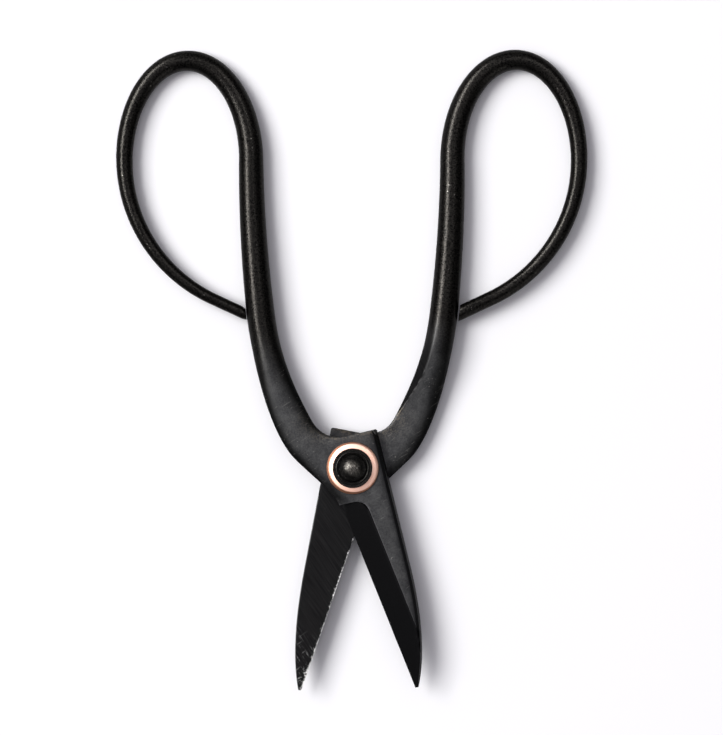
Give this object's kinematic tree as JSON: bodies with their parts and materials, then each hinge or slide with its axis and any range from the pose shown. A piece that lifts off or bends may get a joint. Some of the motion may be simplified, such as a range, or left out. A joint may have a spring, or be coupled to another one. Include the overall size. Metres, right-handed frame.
{
  "type": "floral snips",
  "caption": "Forged black steel floral snips with short leaf-shaped blades, a domed rivet pivot on copper washers and large round-bar finger loops.",
  "frame": {"origin": "on the pivot axis, on the flat face of the rivet's tail", "axes": "+X to the right as seen from the domed rivet head, +Y from the pivot towards the finger loops, +Z along the pivot towards the domed head"},
  "size_m": [0.1321, 0.1795, 0.0133],
  "materials": {
    "black_steel": "forged carbon steel with a black oxide skin, ground bright along the cutting edges",
    "rivet_steel": "satin black steel, hammered over at both ends",
    "copper": "bright rolled copper with a darker rim"
  },
  "bodies": {
    "back_half": {"back_arm": "black_steel", "pivot_rivet": "rivet_steel", "front_copper_washer": "copper", "cup_washer": "rivet_steel", "back_copper_washer": "copper"},
    "front_half": {"front_arm": "black_steel"}
  },
  "joints": [
    {"name": "blade_pivot", "type": "hinge", "parent": "back_half", "child": "front_half", "pos_m": [0, 0, 0.0057], "axis": [0, 0, 1], "range_deg": [-29.7, 45]}
  ]
}
